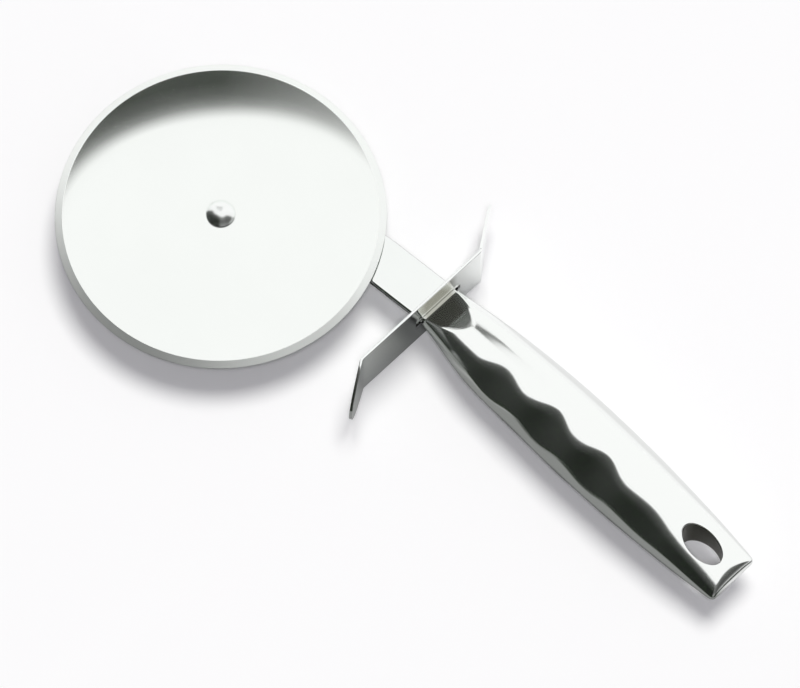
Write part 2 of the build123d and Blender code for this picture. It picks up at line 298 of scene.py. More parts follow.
def sharpen_rim(piece):
    """Marks the open edges of a sheet as sharp: those that only one face uses."""
    mesh = piece.data
    corners = np.empty(len(mesh.loops), dtype=np.int32)
    mesh.loops.foreach_get("edge_index", corners)
    rim = np.bincount(corners, minlength=len(mesh.edges)) == 1
    mesh.attributes.new("sharp_edge", "BOOLEAN", "EDGE").data.foreach_set("value", rim)


def finish_piece(piece, body, finish, node):
    """Gives a new piece its finish, its body and the solid node that it stands for."""
    piece.data.materials.append(bpy.data.materials[finish])
    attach(piece, body)
    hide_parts(node)


def rounded_bar(thickness, radius, steps=4):
    """One corner of a bar's section, as insets from the bar's edge and heights over its middle.

    It is a quarter circle between the edge and the face, with a support point half a radius past each end of it."""
    turn = np.linspace(0, np.pi / 2, steps + 1)
    support = 1.5 * radius
    across = np.concatenate([[0.0], radius * (1 - np.cos(turn)), [support]])
    height = thickness / 2 - radius + radius * np.sin(turn)
    return across, np.concatenate([[thickness / 2 - support], height, [thickness / 2]])


def whole_section(reach, level):
    """A bar's whole section from one corner of it: the corner and its images in the bar's two middle planes."""
    reach = np.concatenate([reach, -reach[:, ::-1], -reach, reach[:, ::-1]], axis=1)
    return reach, np.concatenate([level, level[::-1], -level, -level[::-1]])


def swept_points(spot, left, aside, height, start_x):
    """Points of a section carried along a path: each goes aside along the path's left, and up by its own height."""
    aside, height = np.broadcast_arrays(aside, height)
    flat = spot[:, None, :] + left[:, None, :] * aside[..., None] + [start_x, HANDLE_Y]
    return np.concatenate([flat, MID_HEIGHT + height[..., None]], axis=2).reshape(-1, 3)


def end_caps(index):
    """Quads that close both ends of a swept section, by joining one half of its ring to the other."""
    half = index.shape[1] // 2
    first, last = [grid_quads(np.stack([index[row, :half], index[row, half:][::-1]])) for row in (0, -1)]
    return [first, last[:, ::-1]]


def turned_piece(name, profile, segments):
    """A solid of revolution: a profile of radius and height carried round the axle.

    A profile that starts and ends on the axle closes there with a fan of triangles; any other closes on itself."""
    turn = np.linspace(0, 2 * np.pi, segments, endpoint=False)[:, None]
    on_axis = profile[0, 0] == 0.0
    body = profile[1:-1] if on_axis else profile
    points = np.stack(
        [
            AXLE[0] + np.cos(turn) * body[:, 0],
            AXLE[1] + np.sin(turn) * body[:, 0],
            np.broadcast_to(MID_HEIGHT + body[:, 1], (segments, len(body))),
        ],
        axis=-1,
    ).reshape(-1, 3)
    index = closed(np.arange(len(points)).reshape(segments, len(body)), 0)
    if not on_axis:
        return make_closed_piece(name, points, [grid_quads(closed(index, 1))])
    poles = np.array([[*AXLE, MID_HEIGHT + profile[0, 1]], [*AXLE, MID_HEIGHT + profile[-1, 1]]])
    first, last = len(points), len(points) + 1
    fans = [
        np.stack([np.full(segments, first), index[:-1, 0], index[1:, 0]], axis=1),
        np.stack([np.full(segments, last), index[1:, -1], index[:-1, -1]], axis=1),
    ]
    return make_closed_piece(name, np.concatenate([points, poles]), [grid_quads(index), *fans])


def bent_path(start, heading, legs, turns, radius):
    """A path of straight legs with a rounded corner between each two, as a function of the distance along it.

    Its heading is constant on a leg and changes evenly round a corner; its place is the sum of the headings.
    A leg is given from corner to corner, and each corner takes the radius times the tangent of half its turn."""
    cuts = [abs(radius * math.tan(turn / 2)) for turn in turns]
    ends, headings, distance = [0.0], [heading], 0.0
    for leg, cut_in, cut_out, turn in zip(legs, [0.0, *cuts], [*cuts, 0.0], [*turns, 0.0]):
        distance += leg - cut_in - cut_out
        ends.append(distance)
        headings.append(heading)
        distance += abs(turn) * radius
        heading += turn
        if turn:
            ends.append(distance)
            headings.append(heading)
    fine = np.linspace(0, ends[-1], PATH_STEPS + 1)
    angle = np.interp(fine, ends, headings)
    middle = (angle[:-1] + angle[1:]) / 2
    steps = np.diff(fine)[:, None] * np.stack([np.cos(middle), np.sin(middle)], axis=1)
    places = np.concatenate([[start], start + np.cumsum(steps, axis=0)])

    def place(along):
        """Place, direction and left-hand normal at distances along the path."""
        turn = np.interp(along, ends, headings)
        spot = np.stack([np.interp(along, fine, places[:, 0]), np.interp(along, fine, places[:, 1])], axis=1)
        return spot, np.stack([np.cos(turn), np.sin(turn)], axis=1), np.stack([-np.sin(turn), np.cos(turn)], axis=1)

    return place, ends


# Handle

def bezier(first, second, third, fourth, share):
    """A cubic Bezier value: its four control values weighted by the Bernstein terms of the share."""
    rest = 1 - share
    return first * rest**3 + 3 * second * share * rest**2 + 3 * third * share**2 * rest + fourth * share**3


def bulge(distance, nose, belly, butt, handle):
    """Half a size along the handle: a parabola from the belly to the nose, and another to the butt."""
    to_nose = (handle.belly_distance - distance) / handle.belly_distance
    to_butt = (distance - handle.belly_distance) / (handle.length - handle.belly_distance)
    before = belly - (belly - nose) * to_nose**2
    after = belly - (belly - butt) * to_butt**2
    return np.where(distance < handle.belly_distance, before, after) / 2


def soft_minimum(first, second, reach):
    """The lesser of two values, rounded off where they differ by less than the reach.

    There a parabola dips under both of them, by a quarter of the reach where they are equal."""
    near = np.clip(1 - np.abs(first - second) / reach, 0, 1)
    return np.minimum(first, second) - reach * near**2 / 4


def nose_inset(distance, handle):
    """How far the nose draws its section in: a small quarter circle."""
    past = np.clip(handle.nose_round - distance, 0, handle.nose_round)
    return handle.nose_round - np.sqrt(handle.nose_round**2 - past**2)


def ease(share):
    """A share held between nought and one that starts and ends softly: half a cosine wave."""
    return (1 - np.cos(np.pi * np.clip(share, 0, 1))) / 2


def step(value, start, width):
    """A soft step from nought to one, which begins at a start and takes a width."""
    return ease((value - start) / width)


def plain_shoulder(distance, handle):
    """A shoulder's fullness without scoops: even at nose, belly and butt, and eased between them."""
    to_nose = (handle.belly_shoulder_start - distance) / (handle.belly_shoulder_start - handle.nose_shoulder_end)
    to_butt = (distance - handle.belly_shoulder_end) / (handle.butt_shoulder_start - handle.belly_shoulder_end)
    fuller = (handle.nose_shoulder - handle.belly_shoulder) * ease(to_nose)
    return handle.belly_shoulder + fuller + (handle.butt_shoulder - handle.belly_shoulder) * ease(to_butt)


def finger_shoulder(distance, handle):
    """The finger side's fullness: the plain one, less a cosine wave that is deepest amid each of four scoops."""
    plain = plain_shoulder(distance, handle)
    phase = (distance - handle.first_scoop) / handle.scoop_pitch
    depth = (1 + np.cos(2 * np.pi * phase)) / 2
    depth = np.where(phase < 0.5, depth * handle.first_scoop_share, depth)
    depth = np.where(phase > 2.5, depth * handle.last_scoop_share, depth)
    depth = np.where((phase > -0.5) & (phase < 3.5), depth, 0)
    return plain - (plain - handle.scoop_shoulder) * depth


def finger_swell(distance, handle):
    """How far the finger side swells out behind the nose: a cosine wave squared."""
    past = np.clip((distance - handle.swell_place) / handle.swell_reach, -1, 1)
    return handle.finger_swell * np.cos(np.pi / 2 * past) ** 2


def half_width(distance, handle):
    """Half the handle's width along it, with a quarter circle at each corner of the butt."""
    full = bulge(distance, handle.nose_width, handle.belly_width, handle.butt_width, handle)
    past = np.clip(distance - handle.length + handle.butt_corner, 0, handle.butt_corner)
    corner = handle.butt_corner - np.sqrt(handle.butt_corner**2 - past**2)
    return full - nose_inset(distance, handle) - corner


def half_height(distance, handle):
    """Half the handle's thickness along it."""
    full = bulge(distance, handle.nose_thickness, handle.belly_thickness, handle.butt_thickness, handle)
    return full - nose_inset(distance, handle)


def butt_roll(distance, handle):
    """Height of the roll that ends the butt: a quarter ellipse from the crown down to the seam at the end."""
    start = handle.length - handle.butt_roll
    past = np.clip((distance - start) / handle.butt_roll, 0, 1)
    roll = half_height(np.float64(start), handle) * np.sqrt(1 - past**2)
    return np.where(distance < start, handle.belly_thickness, roll)


def from_nose(along, side, height):
    """Points from distances along the handle, offsets to its thumb side and heights over its seam."""
    return np.stack([NOSE_X + along, HANDLE_Y + side, MID_HEIGHT + height], axis=-1)


def skin_side(distance, turn, handle):
    """Side offset of the upper skin, where the turn goes from -1 at the finger seam over 0 at the crown to 1.

    Each side is a cubic Bezier curve from the seam to the crown, whose third control point lies at its fullness."""
    fullness = np.where(turn < 0, finger_shoulder(distance, handle), plain_shoulder(distance, handle))
    width = half_width(distance, handle) + np.where(turn < 0, finger_swell(distance, handle), 0)
    return np.sign(turn) * width * bezier(1.0, 1.0, fullness, 0.0, 1 - np.abs(turn))


def skin_height(distance, turn, handle):
    """Height of the upper skin over the seam: the same Bezier curve, cut by the nose facet and the butt's roll.

    Where they meet, the height is the soft minimum of the two. The roll's softening grows from nothing where it
    starts."""
    height = half_height(distance, handle) * bezier(0.0, handle.seam_fullness, 1.0, 1.0, 1 - np.abs(turn))
    slope = handle.facet_seat + np.tan(handle.facet_angle) * distance - nose_inset(distance, handle)
    height = np.where(distance < handle.belly_distance, soft_minimum(height, slope, handle.facet_soften), height)
    roll = butt_roll(distance, handle)
    growth = 0.35 * np.clip(distance - handle.length + handle.butt_roll, 0, None)
    reach = np.minimum(np.minimum(growth, handle.roll_soften), np.minimum(height, roll))
    return soft_minimum(height, roll, reach + LEAST_SOFTENING)


def turn_at_side(distance, side, handle):
    """The turn at which the skin reaches a side offset, found by halving."""
    low, high = np.zeros_like(side), np.ones_like(side)
    for _ in range(HALVINGS):
        middle = (low + high) / 2
        outside = np.abs(skin_side(distance, np.sign(side) * (1 - middle), handle)) > np.abs(side)
        low, high = np.where(outside, middle, low), np.where(outside, high, middle)
    return np.sign(side) * (1 - low)


def skin_points(distance, turn, end_share, end_normal, handle):
    """Points of the upper skin, over the whole grid.

    The end share squeezes the height to the seam over the flat ends. Close to the seam the skin rolls in by a
    quarter circle, along the outward direction that the end normal gives: 0 sideways, 1 along the handle."""
    side = skin_side(distance, turn, handle)
    height = skin_height(distance, turn, handle) * end_share
    low = np.clip(handle.seam_round - height, 0, handle.seam_round)
    roll = handle.seam_round - np.sqrt(handle.seam_round**2 - low**2)
    side = side - np.sign(turn) * roll * np.sqrt(1 - end_normal**2)
    return from_nose(distance - roll * end_normal, side, height)


def skin_rows(patch_start, patch_end, handle):
    """Rows of the skin's grid: their distances, their shares of the height, and how far they face along the handle.

    They climb the flat nose, go round its edge, run along the body and follow the butt's quarter ellipse by angle."""
    nose_fine_end = 0.016
    nose_count, body_count, patch_count, butt_count = 60, 125, 45, 25
    climb = np.array([0.0, 0.012, 0.025, 0.045, 0.07, 0.11, 0.18, 0.3, 0.5, 0.75])
    nose_angle = np.linspace(0, np.pi / 2, 5)
    nose_rows = handle.nose_round * (1 - np.cos(nose_angle))
    body_rows = [
        np.linspace(start, end, count)[1:]
        for start, end, count in (
            (handle.nose_round, nose_fine_end, nose_count),
            (nose_fine_end, patch_start, body_count),
            (patch_start, patch_end, patch_count),
        )
    ]
    roll_start = handle.length - handle.butt_roll
    crown = float(butt_roll(np.float64(roll_start), handle))
    from_angle = math.asin(max(patch_end - roll_start, 0.0) / handle.butt_roll)
    seam_angles = np.arccos(np.array([1.0, 0.75, 0.5, 0.25, 0.0]) * handle.seam_round / crown)
    butt_angle = np.concatenate([np.linspace(from_angle, seam_angles[0], butt_count)[1:], seam_angles[1:]])
    butt_rows = roll_start + handle.butt_roll * np.sin(butt_angle)
    butt_normal = np.clip(1 - crown * np.cos(butt_angle) / handle.seam_round, 0, 1)
    body = np.concatenate(body_rows)
    distance = np.concatenate([np.zeros(len(climb)), nose_rows, body, butt_rows])
    normal = np.concatenate([np.ones(len(climb)), np.cos(nose_angle), np.zeros(len(body)), butt_normal])
    share = np.concatenate([climb, np.ones(len(distance) - len(climb))])
    return distance, share, normal


def hole_ring(outer_distance, outer_turn, angle, handle):
    """Rings of points from a rectangle of the skin's grid to the hanging hole, at an angle round it for each point.

    They blend evenly, in distance and turn, to an oval round the hole, and then roll down into it by a quarter
    circle."""
    lip = handle.lip_round
    half_length, half_width = handle.hole_length / 2, handle.hole_width / 2
    inner_distance = handle.hole_distance + (half_length + lip) * np.cos(angle)
    inner_turn = turn_at_side(inner_distance, (half_width + lip) * np.sin(angle), handle)
    blend = np.array([0.12, 0.26, 0.42, 0.58, 0.72, 0.84, 0.93, 1.0])[:, None]
    distance = outer_distance + (inner_distance - outer_distance) * blend
    turn = outer_turn + (inner_turn - outer_turn) * blend
    flat = skin_points(distance, turn, np.ones_like(turn), np.zeros_like(turn), handle)
    roll = np.linspace(0, np.pi / 2, 8)[1:, None]
    growth = lip * (1 - np.sin(roll))
    distance = handle.hole_distance + (half_length + growth) * np.cos(angle)
    side = (half_width + growth) * np.sin(angle)
    height = skin_height(distance, turn_at_side(distance, side, handle), handle) - lip * (1 - np.cos(roll))
    return np.concatenate([flat, from_nose(distance, side, height)])


def handle_half(handle):
    """Points and quads of the upper skin: a grid along and across, with rings of quads round the hanging hole.

    The rings take the place of a patch of the grid, which goes a little past the hole at each end."""
    before, after, patch_turn, turn_count = 0.0027, 0.0020, 0.5, 33
    patch_start = handle.hole_distance - handle.hole_length / 2 - before
    patch_end = handle.hole_distance + handle.hole_length / 2 + after
    distance, share, normal = skin_rows(patch_start, patch_end, handle)
    by_seam = np.array([0.0, 0.002, 0.0045, 0.0075, 0.011, 0.0155, 0.021])
    to_patch = np.linspace(0.0, 1 - patch_turn, turn_count)[2:-1]
    side_turns = np.concatenate([by_seam, to_patch, np.linspace(1 - patch_turn, 1.0, turn_count)])
    turns = np.concatenate([side_turns - 1, (1 - side_turns)[::-1][1:]])
    points = skin_points(distance[:, None], turns[None, :], share[:, None], normal[:, None], handle)
    index = np.arange(points[..., 0].size).reshape(points.shape[:2])

    first_row, last_row = [np.argmin(np.abs(distance - end)) for end in (patch_start, patch_end)]
    first_turn, last_turn = [np.argmin(np.abs(turns - end)) for end in (-patch_turn, patch_turn)]
    quads = grid_quads(index).reshape(index.shape[0] - 1, index.shape[1] - 1, 4)
    kept = np.ones(quads.shape[:2], dtype=bool)
    kept[first_row:last_row, first_turn:last_turn] = False

    row_run, turn_run = np.arange(first_row, last_row), np.arange(first_turn, last_turn)
    rows, cols = np.ones_like(row_run), np.ones_like(turn_run)
    loop_rows = np.concatenate([row_run, last_row * cols, row_run[::-1] + 1, first_row * cols])
    loop_turns = np.concatenate([first_turn * rows, turn_run, last_turn * rows, turn_run[::-1] + 1])
    outer_distance, outer_turn = distance[loop_rows], turns[loop_turns]
    from_middle = (outer_distance - (patch_start + patch_end) / 2) / ((patch_end - patch_start) / 2)
    angle = np.arctan2(outer_turn / patch_turn, from_middle)
    ring = hole_ring(outer_distance, outer_turn, angle, handle)
    ring_index = index.size + np.arange(ring[..., 0].size).reshape(ring.shape[:2])
    ring_index = closed(np.concatenate([index[loop_rows, loop_turns][None, :], ring_index]), 1)
    all_points = np.concatenate([points.reshape(-1, 3), ring.reshape(-1, 3)])
    return all_points, turned_up(all_points, quads[kept]), turned_up(all_points, grid_quads(ring_index))


def turned_up(points, quads):
    """The same quads, all turned round if most of them face down."""
    across = np.cross(points[quads[:, 2]] - points[quads[:, 0]], points[quads[:, 3]] - points[quads[:, 1]])
    return quads if across[:, 2].sum() > 0 else quads[:, ::-1]


# Finishes

def feed(tree, entry, value):
    """Gives a node's input another node's socket or a plain value."""
    if isinstance(value, bpy.types.NodeSocket):
        tree.links.new(value, entry)
    else:
        entry.default_value = value


def set_node(tree, node, **values):
    """Sets a node's properties and inputs by name."""
    for name, value in values.items():
        if hasattr(node, name):
            setattr(node, name, value)
        else:
            feed(tree, node.inputs[name.replace("_", " ")], value)


def add_node(tree, kind, place, **values):
    """A new shader node, with its properties and inputs set by name."""
    node = tree.nodes.new("ShaderNode" + kind)
    node.location = place
    set_node(tree, node, **values)
    return node


def math_node(tree, place, operation, *terms):
    """The result of a Math node, whose terms are other nodes' sockets or plain numbers."""
    node = add_node(tree, "Math", place, operation=operation)
    for entry, term in zip(node.inputs, terms):
        feed(tree, entry, term)
    return node.outputs["Value"]


def map_range(tree, place, source, low, high, to_low, to_high):
    """The result of a Map Range node from one span of values to another, held at its ends."""
    node = add_node(
        tree, "MapRange", place, clamp=True, Value=source, From_Min=low, From_Max=high, To_Min=to_low, To_Max=to_high
    )
    return node.outputs["Result"]


def noise(tree, place, **values):
    """The grey value of a Noise Texture node."""
    return add_node(tree, "TexNoise", place, **values).outputs["Fac"]


def mixed(tree, place, amount, first, second):
    """A colour between two colours, each a plain one or another node's socket."""
    return add_node(tree, "Mix", place, data_type="RGBA", Factor=amount, A=first, B=second).outputs["Result"]


def shades(tree, place, source, colour, darker, lighter):
    """A colour that a noise moves between a darker and a lighter shade of it."""
    return mixed(tree, place, source, scaled(colour, darker), scaled(colour, lighter))


def bumped(tree, place, height, strength, distance):
    """A normal that a height tilts."""
    return add_node(tree, "Bump", place, Strength=strength, Distance=distance, Height=height).outputs["Normal"]


def object_place(tree, place):
    """The place on the piece, in the piece's own coordinates."""
    return add_node(tree, "TexCoord", place).outputs["Object"]


def new_finish(name):
    """A new node material with only a Principled shader and its output: the tree and the shader."""
    material = bpy.data.materials.new(name)
    material.use_nodes = True
    tree = material.node_tree
    tree.nodes.clear()
    shader = add_node(tree, "BsdfPrincipled", (400, 0))
    add_node(tree, "OutputMaterial", (700, 0), Surface=shader.outputs["BSDF"])
    return tree, shader


def scaled(colour, factor):
    """A colour with its three channels multiplied, as the four numbers of a socket."""
    return (*[min(1.0, channel * factor) for channel in colour], 1.0)


def polished_finish(name, colour, smooth, rough, hairline, stretch):
    """Polished steel: slow smudges in colour and roughness, and fine hairlines that lie along the piece.

    Smudges are a noise of about 15 mm. Hairlines are a much finer noise, stretched along one axis or, on the rivet,
    along none."""
    tree, shader = new_finish(name)
    place = object_place(tree, (-1200, 0))
    smudge = noise(tree, (-900, 200), Vector=place, Scale=65.0, Detail=4.0, Roughness=0.55)
    lay = add_node(tree, "Mapping", (-1000, -200), Vector=place, Scale=stretch)
    hair = noise(tree, (-800, -200), Vector=lay.outputs["Vector"], Scale=1.0, Detail=3.0, Roughness=0.65)
    set_node(
        tree,
        shader,
        Base_Color=shades(tree, (100, 200), smudge, colour, 0.975, 1.02),
        Roughness=map_range(tree, (-300, 0), smudge, 0.3, 0.75, smooth, rough),
        Normal=bumped(tree, (100, -250), hair, hairline, 0.00001),
        Metallic=1.0,
    )


def paint_slot_shade_and_reflection(guard):
    """Painted shade on the walls of the arm's slot, and a painted reflection in a darker straw colour over the arm.

    The painted shade is a step of the height over the middle of the arm, taken both ways. The painted reflection goes
    from there nearly to the guard's edge, on the face towards the handle."""
    # Painted shade: a near black for the slot's walls. Painted reflection: a darker straw colour for the face over the
    # arm.
    slot_shade_colour, reflection_colour = (0.03, 0.03, 0.028, 1.0), (0.50, 0.495, 0.445, 1.0)
    slot_top, slot_end = guard.slot_half_height, max(abs(guard.slot_finger_end), guard.slot_thumb_end)
    shade_fade, shade_end = (slot_top + 0.00001, slot_top + 0.00006), (slot_end, slot_end + 0.0001)
    reflection_foot, reflection_top = (0.0, 0.0001), (0.0106, 0.0110)
    reflection_end = (guard.slot_thumb_end - 0.0035, guard.slot_thumb_end - 0.0002)
    face_depth = 0.0002
    tree = bpy.data.materials["guard_steel"].node_tree
    shader = tree.nodes["Principled BSDF"]
    clean = shader.inputs["Base Color"].links[0].from_socket
    place = add_node(tree, "SeparateXYZ", (-1000, 600), Vector=object_place(tree, (-1200, 600))).outputs
    over = math_node(tree, (-800, 600), "SUBTRACT", place["Z"], MID_HEIGHT)
    off = math_node(tree, (-600, 600), "ABSOLUTE", over)
    side = math_node(tree, (-800, 800), "SUBTRACT", place["Y"], HANDLE_Y)
    aside = math_node(tree, (-600, 800), "ABSOLUTE", side)

    # Mask of the painted shade: the slot's walls, along the slot's length
    in_slot = map_range(tree, (-400, 600), off, *shade_fade, 1.0, 0.0)
    near_slot = map_range(tree, (-400, 800), aside, *shade_end, 1.0, 0.0)
    slot_shade = math_node(tree, (-200, 700), "MULTIPLY", in_slot, near_slot)
    # Mask of the painted reflection: the face towards the handle, from the arm's middle nearly to the guard's edge
    below_edge = map_range(tree, (-600, 1000), over, *reflection_top, 1.0, 0.0)
    over_arm = map_range(tree, (-600, 1200), over, *reflection_foot, 0.0, 1.0)
    on_arm = map_range(tree, (-600, 1400), aside, *reflection_end, 1.0, 0.0)
    on_back = math_node(tree, (-600, 1600), "COMPARE", place["X"], NOSE_X, face_depth)
    tall = math_node(tree, (-400, 1100), "MULTIPLY", below_edge, over_arm)
    wide = math_node(tree, (-400, 1400), "MULTIPLY", on_arm, on_back)
    face_reflection = math_node(tree, (-200, 900), "MULTIPLY", tall, wide)
    # Painted reflection: the darker straw colour mixed into the clean steel colour
    with_reflection = mixed(tree, (100, 700), face_reflection, clean, reflection_colour)
    # Paints the shade into the slot's walls, over the painted reflection
    set_node(tree, shader, Base_Color=mixed(tree, (250, 500), slot_shade, with_reflection, slot_shade_colour))


def blade_finish(name, colour, bevel_start):
    """Buffed blade steel: fine rings round the axle, and a ground bevel that is rougher.

    Rings are a noise of the distance from the axle alone. Fine scratches scatter a small share of the light."""
    tree, shader = new_finish(name)
    place = object_place(tree, (-1500, 0))
    centred = add_node(
        tree, "Mapping", (-1300, 0), Vector=place, Location=(-AXLE[0], -AXLE[1], 0.0), Scale=(1.0, 1.0, 0.0)
    )
    length = add_node(tree, "VectorMath", (-1100, 0), operation="LENGTH", Vector=centred.outputs["Vector"])
    radius = length.outputs["Value"]
    rings = noise(tree, (-800, -200), noise_dimensions="1D", W=radius, Scale=2500.0, Detail=2.0, Roughness=0.6)
    smudge = noise(tree, (-900, 250), Vector=place, Scale=45.0, Detail=4.0, Roughness=0.5)
    ground = map_range(tree, (-800, 0), radius, bevel_start - 0.0001, bevel_start + 0.0001, 0.0, 0.28)
    smooth = map_range(tree, (-500, 150), smudge, 0.3, 0.75, 0.035, 0.065)
    set_node(
        tree,
        shader,
        Base_Color=shades(tree, (100, 200), smudge, colour, 0.98, 1.015),
        Roughness=math_node(tree, (-200, 50), "ADD", smooth, ground),
        Normal=bumped(tree, (100, -250), rings, 0.02, 0.000004),
        Metallic=0.94,
    )


def cement_finish(name, colour):
    """Grey cement: a grain of about a millimetre over slow mottling, dull and slightly rough."""
    tree, shader = new_finish(name)
    place = object_place(tree, (-1200, 0))
    grain = noise(tree, (-900, -150), Vector=place, Scale=900.0, Detail=5.0, Roughness=0.6)
    mottle = noise(tree, (-900, 150), Vector=place, Scale=120.0, Detail=3.0, Roughness=0.5)
    set_node(
        tree,
        shader,
        Base_Color=shades(tree, (-300, 150), mottle, colour, 0.75, 1.25),
        Roughness=map_range(tree, (-300, -50), grain, 0.3, 0.7, 0.8, 0.95),
        Normal=bumped(tree, (0, -250), grain, 0.4, 0.0002),
    )


def table_finish(name, colour):
    """Pale matt table top with a very slight mottling."""
    tree, shader = new_finish(name)
    mottle = noise(tree, (-600, 0), Vector=object_place(tree, (-900, 0)), Scale=6.0, Detail=3.0)
    tone = shades(tree, (-200, 0), mottle, colour, 0.995, 1.005)
    set_node(tree, shader, Base_Color=tone, Roughness=0.7, Specular_IOR_Level=0.2)


def cloth_finish(name, colour, fade):
    """Dark studio cloth that thins out to nothing where its own opacity map says so.

    The opacity is an attribute of the cloth's points."""
    tree, shader = new_finish(name)
    opacity = add_node(tree, "Attribute", (-300, 0), attribute_name=fade).outputs["Fac"]
    set_node(tree, shader, Base_Color=scaled(colour, 1.0), Roughness=1.0, Specular_IOR_Level=0.0, Alpha=opacity)


# Operators

class PIZZA_CUTTER_OT_blade(bpy.types.Operator):
    """Make the cutting wheel: a flat disc whose upper face is ground down to the edge."""

    bl_idname = "pizza_cutter.blade"
    bl_label = "Blade"
    bl_options = {"REGISTER", "UNDO"}

    def execute(self, context):
        """The profile goes out along the upper face, straight down the bevel and back along the lower face.

        Its points lie close together at each corner, so that smooth shading keeps the corner crisp."""
        blade, colours = context.scene.pizza_cutter.blade, context.scene.pizza_cutter.colours
        outer = (WHEEL_HIGH.x - WHEEL_LOW.x) / 2
        top, bottom = WHEEL_HIGH.z - MID_HEIGHT, WHEEL_LOW.z - MID_HEIGHT
        bevel_start = outer - blade.bevel_width
        by_bore, past_rivet = np.array([0.0, 0.00003, 0.00008]), 0.004
        by_bevel = np.array([0.0003, 0.00012, 0.00004])
        middle = np.linspace(past_rivet, bevel_start - by_bevel[0], 60)
        face = np.concatenate([blade.bore_radius + by_bore, middle, bevel_start - by_bevel[1:]])
        down = np.array([0.02, 0.06, 0.25, 0.5, 0.75, 0.97, 1.0])
        bevel_height = top + (bottom + blade.cutting_edge - top) * down
        under = np.concatenate([face, outer - np.array([0.0003, 0.00003, 0.0])])
        profile = np.concatenate(
            [
                np.stack([face, np.full(len(face), top)], axis=1),
                np.stack([bevel_start + blade.bevel_width * down, bevel_height], axis=1),
                np.stack([under, np.full(len(under), bottom)], axis=1)[::-1],
            ]
        )
        piece = turned_piece("blade", profile, 360)
        blade_finish("buffed_blade_steel", colours.blade_steel, bevel_start)
        finish_piece(piece, WHEEL_BODY, "buffed_blade_steel", "cutting_wheel")
        return {"FINISHED"}


class PIZZA_CUTTER_OT_rivet(bpy.types.Operator):
    """Make the axle rivet: a domed head, a journal, a spigot and a closed tail."""

    bl_idname = "pizza_cutter.rivet"
    bl_label = "Axle rivet"
    bl_options = {"REGISTER", "UNDO"}

    def execute(self, context):
        """Head and tail are caps of a ball; between them the profile steps in with softened corners."""
        rivet = context.scene.pizza_cutter.rivet
        arm_top = (ARM_HIGH.z - ARM_LOW.z) / 2

        def cap(radius, height, steps):
            """A cap's radius and drop from its top: an arc of a ball that has this radius and height."""
            ball = (radius**2 + height**2) / (2 * height)
            turn = np.linspace(0, math.acos(1 - height / ball), steps)
            return np.stack([ball * np.sin(turn), ball * np.cos(turn) - ball], axis=1)

        soft = 0.00005
        head = cap(rivet.head_radius, rivet.head_height, 40) + [0, rivet.head_seat + rivet.head_height]
        tail = cap(rivet.tail_radius, rivet.tail_height, 24) * [1, -1] + [0, rivet.tail_seat - rivet.tail_height]
        head[0, 0] = tail[0, 0] = 0.0
        steps = np.array(
            [
                [rivet.head_radius - soft, rivet.head_seat],
                [rivet.journal_radius, rivet.head_seat],
                [rivet.journal_radius, arm_top],
                [rivet.spigot_radius, arm_top],
                [rivet.spigot_radius, rivet.tail_seat],
                [rivet.tail_radius - soft, rivet.tail_seat],
            ]
        )
        profile = np.concatenate([head, steps, tail[::-1]])
        piece = turned_piece("rivet", profile, 128)
        finish_piece(piece, FRAME_BODY, "rivet_steel", "axle_rivet")
        return {"FINISHED"}


class PIZZA_CUTTER_OT_arm(bpy.types.Operator):
    """Make the arm: a cranked flat bar with a round end, soft edges and a narrow tang."""

    bl_idname = "pizza_cutter.arm"
    bl_label = "Arm"
    bl_options = {"REGISTER", "UNDO"}

    def execute(self, context):
        """A bar's section carried along a bent path; its half width follows a half circle at the wheel's end."""
        settings = context.scene.pizza_cutter
        arm, guard = settings.arm, settings.guard
        guard_x = NOSE_X - guard.thickness / 2
        start = np.array([AXLE[0] - guard_x, AXLE[1] - HANDLE_Y])
        corner = np.array([-arm.lead_length, -arm.lead_length * math.tan(arm.lead_angle)])
        first = corner - start
        heading = math.atan2(first[1], first[0])
        lead = (arm.lead_length + guard.thickness / 2) / math.cos(arm.lead_angle)
        legs = [float(np.linalg.norm(first)), lead]
        place, ends = bent_path(start, heading, legs, [arm.lead_angle - heading], arm.bend_radius)
        half = arm.width / 2
        turn = np.linspace(0, np.pi / 2, 33)
        bar = np.linspace(0, ends[-1], 90)[1:]
        along = np.concatenate([-half * np.cos(turn), bar])
        breadth = np.concatenate([half * np.sin(turn), np.full(len(bar), half)])
        spot, ahead, left = place(np.maximum(along, 0))
        spot = spot + np.minimum(along, 0)[:, None] * ahead
        tang_x = guard.thickness / 2 + np.array([0.0, arm.tang_length])
        spot = np.concatenate([spot, np.stack([tang_x, np.zeros(2)], axis=1)])
        left = np.concatenate([left, [[0.0, 1.0], [0.0, 1.0]]])
        tip_breadth = 0.0003
        breadth = np.maximum(np.concatenate([breadth, np.full(2, arm.tang_width / 2)]), tip_breadth)
        inset, level = rounded_bar(arm.thickness, arm.edge_round)
        reach, level = whole_section(np.clip(breadth[:, None] - inset, LEAST_REACH, None), level)
        points = swept_points(spot, left, reach, level, guard_x)
        index = np.arange(reach.size).reshape(reach.shape)
        faces = [grid_quads(closed(index, 1)), *end_caps(index)]
        piece = make_closed_piece("arm_bar", points, faces)
        finish_piece(piece, FRAME_BODY, "bar_steel", "arm")
        return {"FINISHED"}


